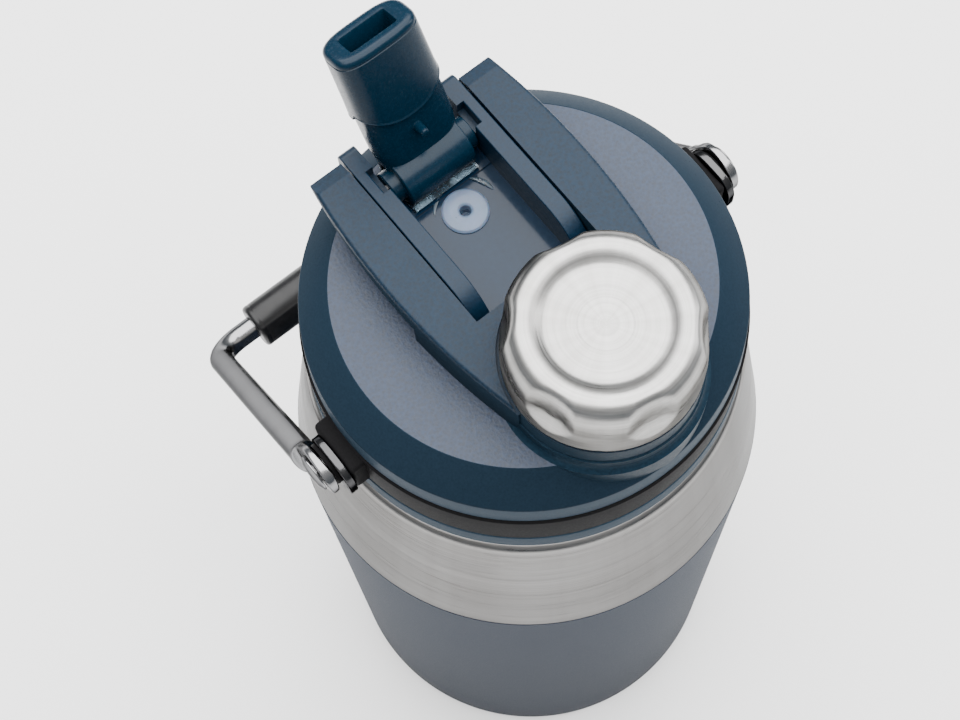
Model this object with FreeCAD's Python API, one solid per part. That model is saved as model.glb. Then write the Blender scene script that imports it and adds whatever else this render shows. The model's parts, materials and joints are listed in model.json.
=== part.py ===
import FreeCAD, Part
import math
import os

# A large double-walled steel water jug with a two-way screw lid.
# Frame: origin at the centre of the base, +Z up, +X towards the flip spout, +Y towards the left lug.
# Lengths are in millimetres.

Vector = FreeCAD.Vector
UP = Vector(0, 0, 1)

# ---- driving dimensions ----
BODY_R = 60.0            # outer radius of the painted cylinder
PAINT_TOP = 170.0        # where the cylinder turns into the bare steel cone
RIM_Z = 246.5            # outer edge of the lid's top chamfer
RIM_R = 50.0
WALL = 0.8               # sheet steel
VACUUM_GAP = 1.8
FLOOR_WELD = 9.5         # seam between the liner and its floor

NECK_R = 46.0            # outside of the bottle's neck
NECK_TOP = 239.3
SHOULDER_R = 52.3
SHOULDER_TOP = 218.0
SHOULDER_WELD = 215.5     # seam between the wall and the spun shoulder

DISC_RISE = 7.6          # flat top of the lid above the rim edge
DISC_R = 42.8
SKIRT_BOTTOM = 219.8
SKIRT_R = 51.4
GROOVE_R = 48.6
GROOVE_LOW = 225.7
GROOVE_HIGH = 239.2

BLOCK_RISE = 19.5        # top of the wings above the rim edge
BLOCK_HALF = 27.0        # half width of the wings at their widest
BLOCK_WIDEST_X = 14.0
BLOCK_END_X = 42.5
CHANNEL_HALF = 16.3
CHANNEL_END_X = -5.15
BOW_START_X = 3.5        # where the wings leave the block's wall

CAP_X = -26.8            # axis of the pour neck and its screw cap
COLLAR_R = 22.05
CAP_R = 21.6
CAP_BOTTOM = RIM_Z + 18.7
CAP_RIDGE = RIM_Z + 38.3
POUR_BORE_R = 14.4
POUR_NECK_R = 16.4
POUR_TOP = RIM_Z + 30.0

HINGE_X = 33.0           # spout hinge axis, along Y
HINGE_Z = RIM_Z + 13.9
BARREL_R = 6.3
BARREL_HALF = 8.7
SPOUT_LENGTH = 37.8      # hinge axis to mouthpiece tip
SPOUT_LEAN = 23.6        # degrees from vertical, towards +X
SPOUT_HALF_WIDTH = 10.4
SPOUT_FRONT = 3.8        # front face to hinge line
SPOUT_BACK = 8.1         # back face to hinge line
PORT_R = 2.8
PORT_TUBE_R = 6.5
PLATE_LOW = 241.5        # inner moulding of the lid
PLATE_HIGH = 243.5
PEG_REACH = 3.5          # how far the peg stands out of the spout's neck

VALVE_X = 20.0
STRAW_R = 4.0
STRAW_X = HINGE_X

PIVOT_Z = RIM_Z - 14.0   # bail pivot axis, along Y
EYE_Y = 58.5             # middle of the flattened rod eyes
EYE_THICK = 2.2
EYE_R = 6.5
ROD_R = 3.2
BAIL_REACH_X = 66.9      # middle of the grip at rest
BAIL_ARM = 102.3
BEND_R = 8.0
GRIP_HALF = 42.5
GRIP_R = 6.0
RIVET_R = 2.5
LUG_OUTSIDE = 56.2       # outer face of the lug plates
RUNNING = 0.05           # radial clearance of a running fit
CLEAR = 0.35             # gap between bodies that pass each other

FLOOR_Z = RIM_Z + 8.8      # channel floor

INNER_R = BODY_R - WALL - VACUUM_GAP          # outside of the inner flask
DISC_Z = RIM_Z + DISC_RISE
BLOCK_TOP = RIM_Z + BLOCK_RISE
LINER_TOP_R = SHOULDER_R - WALL - VACUUM_GAP
LINER_WELD = SHOULDER_WELD - WALL - VACUUM_GAP


# ---- helpers ----
def outline(points):
    """Closed wire in the XZ plane: (x, z), or (x, z, mx, mz) for an arc through (mx, mz)."""
    edges = []
    for here, there in zip(points, points[1:] + points[:1]):
        a = Vector(here[0], 0, here[1])
        b = Vector(there[0], 0, there[1])
        if len(there) == 4:
            edges.append(Part.Arc(a, Vector(there[2], 0, there[3]), b).toShape())
        else:
            edges.append(Part.LineSegment(a, b).toShape())
    return Part.Wire(edges)


def turned(points, x=0.0, y=0.0):
    """Solid of revolution of a (radius, z) outline about a vertical axis at (x, y)."""
    solid = Part.Face(outline(points)).revolve(Vector(0, 0, 0), UP, 360)
    return solid.translated(Vector(x, y, 0))


def rod(radius, low, high, x=0.0, y=0.0):
    return Part.makeCylinder(radius, high - low, Vector(x, y, low), UP)


def ring(outer, inner, low, high, x=0.0, y=0.0):
    return rod(outer, low, high, x, y).cut(rod(inner, low, high, x, y))


def cross_rod(radius, half, x, z):
    """Cylinder along Y, centred on the XZ plane."""
    return Part.makeCylinder(radius, 2 * half, Vector(x, -half, z), Vector(0, 1, 0))


def block(x0, x1, y0, y1, z0, z1):
    return Part.makeBox(x1 - x0, y1 - y0, z1 - z0, Vector(x0, y0, z0))


def both_sides(solid):
    """The solid and its mirror image across the XZ plane, as one shape."""
    return solid.fuse(solid.mirror(Vector(0, 0, 0), Vector(0, 1, 0)))


def edges_where(shape, test):
    return [e for e in shape.Edges if test(e)]


def save(name, shape):
    shape = shape.removeSplitter()
    if shape.ShapeType == "Compound" and len(shape.Solids) == 1:
        shape = shape.Solids[0]
    print("%-20s solids %d valid %s volume %.1f" % (name, len(shape.Solids), shape.isValid(), shape.Volume))
    shape.exportStep("parts/%s.step" % name)


# ---- bottle ----
def outer_shell():
    """Drawn outer wall: rounded foot, cylinder and cone, up to the weld under the shoulder."""
    w = WALL
    return turned([
        (54.0, 0), (56.5, 0), (BODY_R, 3.5, 58.97, 1.03), (BODY_R, PAINT_TOP), (SHOULDER_R, SHOULDER_WELD),
        (SHOULDER_R - w, SHOULDER_WELD), (BODY_R - w, PAINT_TOP), (BODY_R - w, 3.5),
        (56.5, w, 58.4, 1.6), (54.0, w)])


def outer_neck():
    """Spun shoulder and neck sleeve, welded on the outer wall."""
    w = WALL
    return turned([
        (SHOULDER_R, SHOULDER_WELD), (SHOULDER_R - 2.5, SHOULDER_TOP, 51.6, 217.2), (NECK_R, SHOULDER_TOP),
        (NECK_R, NECK_TOP - w), (NECK_R - w, NECK_TOP - w), (NECK_R - w, SHOULDER_TOP - w),
        (SHOULDER_R - 2.9, SHOULDER_TOP - w), (SHOULDER_R - w, SHOULDER_WELD, 50.9, 216.5)])


def inner_flask():
    """Drawn wall of the liner that holds the water."""
    w = WALL
    r = INNER_R
    return turned([
        (r, FLOOR_WELD), (r, PAINT_TOP), (LINER_TOP_R, LINER_WELD), (LINER_TOP_R - w, LINER_WELD),
        (r - w, PAINT_TOP), (r - w, FLOOR_WELD)])


def inner_neck():
    """Spun neck of the liner; its lip is rolled over the outer neck and welded."""
    w = WALL
    neck = NECK_R - w
    return turned([
        (LINER_TOP_R, LINER_WELD), (neck, LINER_WELD + 4.0), (neck, NECK_TOP - w), (NECK_R, NECK_TOP - w),
        (NECK_R, NECK_TOP), (neck - w, NECK_TOP), (neck - w, LINER_WELD + 3.6),
        (LINER_TOP_R - w, LINER_WELD)])


def inner_floor():
    """Pressed floor of the liner, welded to its lower edge."""
    w = WALL
    r = INNER_R
    low = FLOOR_WELD - 2.5
    return turned([
        (0, low), (r - 2.5, low), (r, FLOOR_WELD, r - 0.73, low + 0.73), (r - w, FLOOR_WELD),
        (r - 2.5, low + w, r - w - 0.5, low + w + 0.5), (0, low + w)])


def base_plate():
    """Welded bottom with a raised middle and a hole for the vacuum plug."""
    w = WALL
    return turned([
        (3.0, 3.0), (40.0, 3.0), (43.0, 0.6), (54.0, 0.6), (54.0, 0.6 + w), (43.4, 0.6 + w),
        (40.4, 3.0 + w), (3.0, 3.0 + w)])


def vacuum_plug():
    """Disc that seals the evacuation hole, with a short nose in the hole."""
    return turned([(0, 1.9), (8.0, 1.9), (9.0, 2.9), (2.9, 2.9), (2.9, 4.2), (0, 4.2)])


def getter_capsule():
    return turned([(0, 4.5), (8.2, 4.5), (9.0, 5.3), (9.0, 6.95), (0, 6.95)])


# ---- lid ----
def lid_skirt():
    """Threaded skirt of the inner moulding, welded under its plate, round the bottle's neck."""
    return ring(47.6, NECK_R + CLEAR, 221.5, PLATE_LOW)


def lid_lip():
    """Lip under the plate that reaches into the bottle's mouth and centres the gasket."""
    return ring(42.6, 40.8, 236.0, PLATE_LOW)


def lid_plate():
    """Plate of the inner moulding, with the pour bore, the straw port's seat and the vent hole."""
    body = rod(47.6, PLATE_LOW, PLATE_HIGH)
    body = body.cut(rod(POUR_BORE_R, PLATE_LOW, PLATE_HIGH, CAP_X))
    body = body.cut(rod(PORT_TUBE_R, PLATE_LOW, PLATE_HIGH, STRAW_X))
    return body.cut(rod(1.5, PLATE_LOW, PLATE_HIGH, VALVE_X))


def pour_neck():
    """Neck that stands on the plate and carries the pour cap."""
    body = rod(POUR_NECK_R, PLATE_HIGH, POUR_TOP, CAP_X).cut(rod(POUR_BORE_R, PLATE_HIGH, POUR_TOP, CAP_X))
    rim = edges_where(body, lambda e: e.BoundBox.ZMin > POUR_TOP - 0.01)
    return body.makeFillet(0.6, rim)


def straw_port():
    """Tube through the plate: the straw pushes in from below, the spout seals on it from above."""
    body = rod(PORT_TUBE_R, 229.0, 250.3, STRAW_X)
    return body.cut(rod(STRAW_R + 0.05, 229.0, 241.0, STRAW_X)).cut(rod(PORT_R, 241.0, 250.3, STRAW_X))


def lid_gasket():
    """Silicone ring under the lid plate, above the bottle's lip, with a sealing bead."""
    low = NECK_TOP + CLEAR
    return turned([(42.8, low + 0.4), (44.2, low + 0.4), (45.0, low, 44.6, low + 0.12),
                   (46.2, low), (46.2, 241.45), (42.8, 241.45)])


def lid_insulation():
    """Foam disc between the plate and the top shell."""
    body = turned([(0, 243.6), (46.8, 243.6), (46.8, 246.4), (43.4, 250.2), (0, 250.2)])
    body = body.cut(rod(POUR_NECK_R + 0.3, 243, 251, CAP_X))
    return body.cut(rod(6.8, 243, 251, STRAW_X)).cut(rod(2.6, 243, 251, VALVE_X))


def lid_shell():
    """Top shell: skirt with the groove of the carry ring, chamfered rim and flat disc."""
    top_band = RIM_R + 0.45
    body = turned([
        (47.65, SKIRT_BOTTOM), (SKIRT_R - 0.3, SKIRT_BOTTOM), (SKIRT_R, SKIRT_BOTTOM + 0.3),
        (SKIRT_R - 0.25, GROOVE_LOW), (GROOVE_R, GROOVE_LOW), (GROOVE_R, GROOVE_HIGH),
        (top_band, GROOVE_HIGH), (RIM_R, RIM_Z - 0.5), (RIM_R - 0.4, RIM_Z + 0.3, RIM_R - 0.06, RIM_Z),
        (DISC_R + 0.25, DISC_Z - 0.15), (DISC_R - 0.2, DISC_Z, DISC_R + 0.05, DISC_Z - 0.02),
        (0, DISC_Z), (0, DISC_Z - 2.0), (DISC_R - 0.7, DISC_Z - 2.0), (47.65, RIM_Z + 0.5)])
    body = body.cut(rod(POUR_NECK_R + 0.4, DISC_Z - 3, DISC_Z + 1, CAP_X))
    half = CHANNEL_HALF - 0.1
    window = block(CHANNEL_END_X + 0.2, 39.8, -half, half, DISC_Z - 3, DISC_Z + 1)
    return body.cut(window)


def lid_form():
    """Everything under the lid's outer surface, used to seat the block on the disc and its chamfer."""
    return turned([(0, 230), (RIM_R, 230), (RIM_R, RIM_Z), (DISC_R, DISC_Z), (0, DISC_Z)])


def wing_half_width(x):
    """Half width of the block at x: one long arc that runs into the collar."""
    sag = BLOCK_HALF - COLLAR_R
    reach = BLOCK_WIDEST_X - CAP_X
    radius = (reach ** 2 + sag ** 2) / (2 * sag)
    return BLOCK_HALF - radius + math.sqrt(radius ** 2 - (x - BLOCK_WIDEST_X) ** 2)


def block_outline(inset=0.0):
    """Plan of the block: two long arcs, a square spout end and a round collar end."""
    def at(x, side, z=0.0):
        return Vector(x, side * (wing_half_width(x) - inset), z)
    end = BLOCK_END_X - inset
    left = Part.Arc(at(end, 1), at(BLOCK_WIDEST_X, 1), at(CAP_X, 1)).toShape()
    round_end = Part.Arc(at(CAP_X, 1), Vector(CAP_X - COLLAR_R + inset, 0, 0), at(CAP_X, -1)).toShape()
    right = Part.Arc(at(CAP_X, -1), at(BLOCK_WIDEST_X, -1), at(end, -1)).toShape()
    close = Part.LineSegment(at(end, -1), at(end, 1)).toShape()
    return Part.Face(Part.Wire([left, round_end, right, close]))


def spout_housing():
    """Block on the lid: collar round the pour neck and two wings that reach over the lid like bows."""
    low = RIM_Z - 2.0
    body = block_outline().extrude(UP * (BLOCK_TOP - low)).translated(Vector(0, 0, low))
    slope = Part.Face(outline([(BLOCK_END_X - 3.4, BLOCK_TOP), (BLOCK_END_X + 1, BLOCK_TOP - 1.5),
                               (BLOCK_END_X + 1, BLOCK_TOP + 1), (BLOCK_END_X - 3.4, BLOCK_TOP + 1)]))
    body = body.cut(slope.extrude(Vector(0, 80, 0)).translated(Vector(0, -40, 0)))
    edges = edges_where(body, lambda e: e.BoundBox.ZMin > BLOCK_TOP - 0.01 and e.BoundBox.XLength > 20)
    body = body.makeFillet(1.1, edges)
    under = outline([
        (BOW_START_X, low - 1), (BOW_START_X, BLOCK_TOP - 5.4),
        (BLOCK_END_X + 2, BLOCK_TOP - 1.8, 22.0, BLOCK_TOP - 4.0), (BLOCK_END_X + 2, low - 1)])
    bow = Part.Face(under).extrude(Vector(0, 40, 0)).translated(Vector(0, 18.4, 0))
    body = body.cut(both_sides(bow))
    body = body.cut(block(39.4, 50, -40, 40, low - 1, BLOCK_TOP - 3.4))
    round_side = block(-60, CAP_X + 8.0, -40, 40, low - 1, BLOCK_TOP + 1)
    collar = ring(COLLAR_R + 4, COLLAR_R - 0.4, RIM_Z + 12.0, BLOCK_TOP + 1, CAP_X)
    body = body.cut(collar.common(block(-60, CAP_X + 0.5, -40, 40, low - 1, BLOCK_TOP + 1)))
    foot = turned([(COLLAR_R - 2, low), (COLLAR_R + 1.3, low), (COLLAR_R + 1.3, DISC_Z),
                   (COLLAR_R - 0.02, DISC_Z + 2.4, COLLAR_R + 0.35, DISC_Z + 0.9),
                   (COLLAR_R - 2, DISC_Z + 2.4)], CAP_X)
    body = body.fuse(foot.common(round_side)).cut(lid_form())
    body = body.cut(rod(COLLAR_R + 0.3, CAP_BOTTOM - CLEAR, BLOCK_TOP + 1, CAP_X))
    body = body.cut(rod(POUR_NECK_R + 0.4, low, BLOCK_TOP + 1, CAP_X))
    return body.cut(block(CHANNEL_END_X, 60, -CHANNEL_HALF, CHANNEL_HALF, low, BLOCK_TOP + 2))


def spout_cradle():
    """U-shaped insert: glossy channel floor, two rails, hinge sockets and the barrel's saddle."""
    half = CHANNEL_HALF - 0.4
    rail_in = 11.6
    low = DISC_Z - 1.0
    x0 = CHANNEL_END_X + 0.3
    body = block(x0, 39.4, -half, half, low, FLOOR_Z)
    profile = Part.Face(outline([
        (x0, low), (39.4, low), (44.6, BLOCK_TOP - 8.5), (44.6, BLOCK_TOP - 2.4),
        (42.6, BLOCK_TOP - 0.4, 44.0, BLOCK_TOP - 1.0), (x0 + 12.0, BLOCK_TOP - 0.4),
        (x0, BLOCK_TOP - 8.7, x0 + 3.5, BLOCK_TOP - 3.2)]))
    rail = profile.extrude(Vector(0, half - rail_in, 0)).translated(Vector(0, rail_in, 0))
    plan = block(x0, 50, rail_in, half, low, BLOCK_TOP + 1)
    ends = edges_where(plan, lambda e: e.BoundBox.XMax < x0 + 0.01 and e.BoundBox.ZLength > 5)
    rail = rail.common(plan.makeFillet(1.7, ends))
    body = body.fuse(both_sides(rail))
    body = body.fuse(block(25.6, 39.4, -half, half, RIM_Z + 4.2, FLOOR_Z + 0.5))
    body = body.cut(cross_rod(BARREL_R + 1.6, BARREL_HALF + 0.3, HINGE_X, HINGE_Z))
    body = body.cut(cross_rod(SPOUT_BACK + 1.0, rail_in, HINGE_X, HINGE_Z).common(
        block(HINGE_X, 60, -20, 20, HINGE_Z - 4.2, HINGE_Z + 20)))
    notch = block(HINGE_X - 2.4, HINGE_X + 4.2, rail_in - 1, 13.3, HINGE_Z + 2.0, BLOCK_TOP + 1)
    body = body.cut(both_sides(notch))
    body = body.cut(cross_rod(1.5, 13.4, HINGE_X, HINGE_Z))
    body = body.cut(rod(PORT_R, RIM_Z, HINGE_Z, STRAW_X))
    body = body.cut(rod(2.3, RIM_Z, HINGE_Z, VALVE_X))
    top = BLOCK_TOP - 0.41
    rims = edges_where(body, lambda e: e.BoundBox.ZMin > top and e.BoundBox.XLength > 5)
    return body.makeFillet(0.35, rims)


def spout_seal():
    """Clear silicone saddle between the hinge barrel and the port, with a lip on the channel floor."""
    pad = cross_rod(BARREL_R + 1.55, BARREL_HALF, HINGE_X, HINGE_Z)
    pad = pad.cut(cross_rod(BARREL_R + RUNNING, 20, HINGE_X, HINGE_Z))
    pad = pad.common(block(0, 60, -20, 20, RIM_Z, HINGE_Z - 3.6))
    return pad.cut(rod(PORT_R, RIM_Z, HINGE_Z, STRAW_X))


def vent_valve():
    """Clear silicone vent plug in the channel floor, with a socket for the spout's peg."""
    low = FLOOR_Z
    return turned([(1.7, low - 4.0), (2.25, low - 4.0), (2.25, low + 0.02), (5.4, low + 0.02),
                   (5.4, low + 0.35), (4.5, low + 0.9, 5.15, low + 0.75), (2.3, low + 0.9),
                   (1.7, low + 0.4)], VALVE_X)


def straw():
    return ring(STRAW_R, STRAW_R - 0.9, 14.0, 240.0, STRAW_X)


# ---- flip spout ----
def rounded_bar(half_x0, half_x1, half_y, low, high, corner):
    """Upright bar with rounded vertical edges, from x = -half_x0 to half_x1."""
    bar = block(-half_x0, half_x1, -half_y, half_y, low, high)
    return bar.makeFillet(corner, edges_where(bar, lambda e: e.BoundBox.ZLength > high - low - 0.01))


def spout():
    """Mouthpiece, neck and hinge barrel in one moulding; built upright on the hinge, then leaned."""
    mouth = rounded_bar(SPOUT_FRONT, SPOUT_BACK, SPOUT_HALF_WIDTH, 17.5, SPOUT_LENGTH, 4.6)
    mouth = mouth.makeFillet(1.3, edges_where(mouth, lambda e: e.BoundBox.ZMin > SPOUT_LENGTH - 0.01))
    neck = rounded_bar(SPOUT_FRONT - 0.6, SPOUT_BACK - 0.6, SPOUT_HALF_WIDTH - 0.5, 3.0, 18.0, 4.0)
    barrel = cross_rod(BARREL_R, BARREL_HALF, 0, 0)
    trunnion = cross_rod(4.0, 11.2, 0, 0)
    heel = cross_rod(SPOUT_BACK - 0.6, BARREL_HALF, 0, 0).common(block(0, 20, -20, 20, 0, 12))
    peg = Part.makeCone(1.15, 0.8, PEG_REACH + 0.1, Vector(-SPOUT_FRONT + 0.7, 0, HINGE_X - VALVE_X),
                        Vector(-1, 0, 0))
    body = mouth.fuse([neck, barrel, trunnion, heel, peg])
    middle = (SPOUT_BACK - SPOUT_FRONT) / 2
    slot = block(middle - 3.0, middle + 3.0, -5.9, 5.9, 12.0, SPOUT_LENGTH + 1)
    body = body.cut(slot)
    lean = math.radians(SPOUT_LEAN)
    drop = Vector(-math.sin(lean), 0, -math.cos(lean))
    body.rotate(Vector(0, 0, 0), Vector(0, 1, 0), SPOUT_LEAN)
    bore = Part.makeCylinder(PORT_R, 11.5, Vector(0, 0, -10), UP)
    knee = Vector(middle * math.cos(lean), 0, -middle * math.sin(lean)) - drop * 13.0
    riser = Part.makeCylinder(PORT_R, 11, knee, drop)
    body = body.cut(bore).cut(riser)
    pin_hole = Part.makeCylinder(1.5 + RUNNING, 20, Vector(0, 5.9, 0), Vector(0, 1, 0))
    body = body.cut(both_sides(pin_hole))
    return body.translated(Vector(HINGE_X, 0, HINGE_Z))


def spout_pins():
    """Two short hinge pins, pressed into the rails, that leave the water way open."""
    pin = Part.makeCylinder(1.5, 7.1, Vector(HINGE_X, 6.1, HINGE_Z), Vector(0, 1, 0))
    return Part.makeCompound([pin, pin.mirror(Vector(0, 0, 0), Vector(0, 1, 0))])


# ---- pour cap ----
def cap_profile(inset):
    """Outside of the cap, or a copy set in by a wall thickness: drum, rolled ridge and dished top."""
    r = CAP_R - inset
    ridge = CAP_RIDGE - inset
    dish = RIM_Z + 35.7 - inset
    low = CAP_BOTTOM if inset == 0 else CAP_BOTTOM - 1
    return turned([
        (0, low), (r, low), (r, RIM_Z + 29.0), (r - 3.0, ridge - 1.2, r - 0.75, ridge - 4.1),
        (16.2, ridge, r - 4.0, ridge - 0.3), (14.0 + inset, ridge - 1.3, 14.9 + inset / 2, ridge - 0.35),
        (13.0 + inset, dish), (0, dish)], CAP_X)


def cap_scallops(inset):
    """Six finger hollows round the upper half of the cap."""
    cuts = []
    for k in range(6):
        a = math.radians(60 * k - 12)
        x = CAP_X + 26.9 * math.cos(a)
        y = 26.9 * math.sin(a)
        cuts.append(rod(7.5 + inset, RIM_Z + 30.0, RIM_Z + 50.0, x, y))
        cuts.append(Part.makeSphere(7.5 + inset, Vector(x, y, RIM_Z + 30.0)))
    return cuts


def cap_shell():
    """Pressed steel skin of the pour cap."""
    outside = cap_profile(0)
    inside = cap_profile(WALL)
    for outer, inner in zip(cap_scallops(0), cap_scallops(WALL)):
        outside = outside.cut(outer)
        inside = inside.cut(inner)
    return outside.cut(inside)


def cap_liner():
    """Threaded plastic liner that fills the skin and turns on the pour neck."""
    body = cap_profile(WALL + 0.02)
    for cutter in cap_scallops(WALL + 0.02):
        body = body.cut(cutter)
    body = body.common(rod(30, CAP_BOTTOM + 0.4, CAP_RIDGE, CAP_X))
    return body.cut(rod(POUR_NECK_R + CLEAR, CAP_BOTTOM - 1, POUR_TOP + 2.0, CAP_X))


def cap_gasket():
    """Silicone washer on the pour neck, under the liner's ceiling."""
    low = POUR_TOP + CLEAR
    return ring(POUR_NECK_R - 0.1, 13.4, low, low + 1.3, CAP_X)


# ---- carry ring and bail ----
def carry_ring():
    """Black ring in the lid's groove, with a flat boss on each side for the bail."""
    low = GROOVE_LOW + CLEAR
    high = GROOVE_HIGH - CLEAR
    body = ring(51.0, GROOVE_R + CLEAR, low, high)
    boss = block(-7.2, 7.2, 45.0, 54.2, low, high)
    boss = boss.makeFillet(1.5, edges_where(boss, lambda e: e.BoundBox.YLength > 9))
    boss = boss.cut(rod(GROOVE_R + CLEAR, low - 1, high + 1))
    body = body.fuse(both_sides(boss))
    rivet = cross_rod(RIVET_R, 60, 0, PIVOT_Z)
    return body.cut(rivet)


def lug_plate():
    """Steel plate riveted to the boss, rounded so that the bail clears it."""
    plate = block(-8.6, 6.0, 54.2, LUG_OUTSIDE, PIVOT_Z - 7.3, PIVOT_Z + 7.3)
    plate = plate.makeFillet(6.0, edges_where(plate, lambda e: e.BoundBox.YLength > 1.9))
    return plate.cut(cross_rod(RIVET_R, 60, 0, PIVOT_Z))


def pivot_washer():
    """Black washer between the lug plate and the bail's eye."""
    washer = Part.makeCylinder(5.3, 0.9, Vector(0, LUG_OUTSIDE, PIVOT_Z), Vector(0, 1, 0))
    return washer.cut(cross_rod(RIVET_R, 60, 0, PIVOT_Z))


def pivot_rivet():
    """Domed rivet: head outside the eye, shank through eye, plate and boss."""
    head_low = EYE_Y + EYE_THICK / 2 + 0.3
    shank = head_low - 49.2
    rivet = turned([
        (0, -shank), (RIVET_R, -shank), (RIVET_R, 0), (4.6, 0), (4.6, 0.3),
        (1.2, 1.3, 3.1, 0.98), (0, 1.3)])
    rivet.rotate(Vector(0, 0, 0), Vector(1, 0, 0), -90)
    return rivet.translated(Vector(0, head_low, PIVOT_Z))


def tilt_to_rest(shape):
    """Swing a bail built along +X from the pivot down to where the grip hangs against the body."""
    drop = math.degrees(math.acos(BAIL_REACH_X / BAIL_ARM))
    shape.rotate(Vector(0, 0, 0), Vector(0, 1, 0), drop)
    return shape.translated(Vector(0, 0, PIVOT_Z))


def bail_rod():
    """Round steel rod with flattened, drilled ends; its two arms lean in a little."""
    bend_y = 55.4
    start = Vector(10.2, EYE_Y, 0)
    corner = Vector(BAIL_ARM, bend_y, 0)
    along = (start - corner).normalize()
    before = corner + along * BEND_R
    after = corner - Vector(0, BEND_R, 0)
    middle_dir = (along + Vector(0, -1, 0)).normalize()
    turn = math.acos(-along.dot(Vector(0, -1, 0)))
    middle = corner + middle_dir * BEND_R * math.tan(turn / 4)
    mirror = [Vector(p.x, -p.y, p.z) for p in (start, before, middle, after)]
    path = Part.Wire([
        Part.LineSegment(start, before).toShape(), Part.Arc(before, middle, after).toShape(),
        Part.LineSegment(after, mirror[3]).toShape(), Part.Arc(mirror[3], mirror[2], mirror[1]).toShape(),
        Part.LineSegment(mirror[1], mirror[0]).toShape()])
    section = Part.Wire([Part.makeCircle(ROD_R, start, -along)])
    body = path.makePipeShell([section], True, False)
    eye = Part.makeCylinder(EYE_R, EYE_THICK, Vector(0, EYE_Y - EYE_THICK / 2, 0), Vector(0, 1, 0))
    tab = block(0, 8.7, EYE_Y - EYE_THICK / 2, EYE_Y + EYE_THICK / 2, -4.6, 4.6)
    flat = Part.Wire(Part.makePolygon([
        Vector(8.6, EYE_Y + sy * EYE_THICK / 2, sz * 4.6)
        for sy, sz in ((-1, -1), (1, -1), (1, 1), (-1, 1), (-1, -1))]))
    square = Part.Wire(Part.makePolygon([
        Vector(10.6, EYE_Y + sy * 2.2, sz * 2.2)
        for sy, sz in ((-1, -1), (1, -1), (1, 1), (-1, 1), (-1, -1))]))
    taper = Part.makeLoft([flat, square], True)
    end = eye.fuse([tab, taper])
    end = end.cut(Part.makeCylinder(RIVET_R + RUNNING, 20, Vector(0, EYE_Y - 10, 0), Vector(0, 1, 0)))
    return tilt_to_rest(body.fuse(both_sides(end)))


def bail_grip():
    """Rubber grip moulded round the rod: a round bar with a fuller underside."""
    def bar(radius, height):
        start = Vector(BAIL_ARM, -GRIP_HALF, height)
        solid = Part.makeCylinder(radius, 2 * GRIP_HALF, start, Vector(0, 1, 0))
        return solid.makeFillet(0.8, edges_where(solid, lambda e: e.BoundBox.YLength < 0.01))
    body = bar(GRIP_R, 0).fuse(bar(4.3, -2.6))
    hole = Part.makeCylinder(ROD_R, 2 * GRIP_HALF, Vector(BAIL_ARM, -GRIP_HALF, 0), Vector(0, 1, 0))
    return tilt_to_rest(body.cut(hole))


def flipped(shape):
    return shape.mirror(Vector(0, 0, 0), Vector(0, 1, 0))


os.makedirs("parts", exist_ok=True)
PARTS = {
    "outer_shell": outer_shell, "outer_neck": outer_neck, "inner_flask": inner_flask,
    "inner_neck": inner_neck, "inner_floor": inner_floor, "base_plate": base_plate,
    "vacuum_plug": vacuum_plug, "getter_capsule": getter_capsule,
    "lid_skirt": lid_skirt, "lid_lip": lid_lip, "lid_plate": lid_plate,
    "pour_neck": pour_neck, "straw_port": straw_port,
    "lid_gasket": lid_gasket, "lid_insulation": lid_insulation,
    "lid_shell": lid_shell, "spout_housing": spout_housing, "spout_cradle": spout_cradle,
    "spout_seal": spout_seal, "vent_valve": vent_valve, "straw": straw,
    "spout": spout, "spout_pins": spout_pins,
    "cap_shell": cap_shell, "cap_liner": cap_liner, "cap_gasket": cap_gasket,
    "carry_ring": carry_ring, "bail_rod": bail_rod, "bail_grip": bail_grip,
}
for part_name, make in PARTS.items():
    save(part_name, make())
PAIRS = {"lug_plate": lug_plate, "pivot_washer": pivot_washer, "pivot_rivet": pivot_rivet}
for part_name, make in PAIRS.items():
    one = make()
    save(part_name + "_left", one)
    save(part_name + "_right", flipped(one))
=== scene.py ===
import json
import math

import bmesh
import bpy
from mathutils import Matrix, Vector


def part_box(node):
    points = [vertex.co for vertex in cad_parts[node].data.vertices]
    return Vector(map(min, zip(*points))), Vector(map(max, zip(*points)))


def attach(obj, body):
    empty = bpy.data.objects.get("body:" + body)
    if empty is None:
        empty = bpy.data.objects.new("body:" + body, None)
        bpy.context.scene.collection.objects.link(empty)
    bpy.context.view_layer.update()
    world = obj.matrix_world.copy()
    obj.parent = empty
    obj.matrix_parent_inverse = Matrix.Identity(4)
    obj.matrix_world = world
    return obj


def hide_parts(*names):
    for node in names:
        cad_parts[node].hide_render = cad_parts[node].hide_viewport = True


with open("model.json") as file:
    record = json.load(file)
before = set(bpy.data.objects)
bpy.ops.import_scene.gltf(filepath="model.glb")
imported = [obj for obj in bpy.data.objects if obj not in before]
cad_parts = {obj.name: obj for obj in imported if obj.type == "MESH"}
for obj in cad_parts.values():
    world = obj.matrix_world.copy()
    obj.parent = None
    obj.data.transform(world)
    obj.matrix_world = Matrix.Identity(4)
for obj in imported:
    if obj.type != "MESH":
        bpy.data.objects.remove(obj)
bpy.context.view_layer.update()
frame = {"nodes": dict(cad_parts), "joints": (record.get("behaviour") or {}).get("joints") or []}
NODES = frame["nodes"]
MM = 0.001


# ---- places and sizes in millimetres, from the frame wherever a node or joint gives them ----
def low(node):
    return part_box(node)[0] / MM


def high(node):
    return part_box(node)[1] / MM


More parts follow.
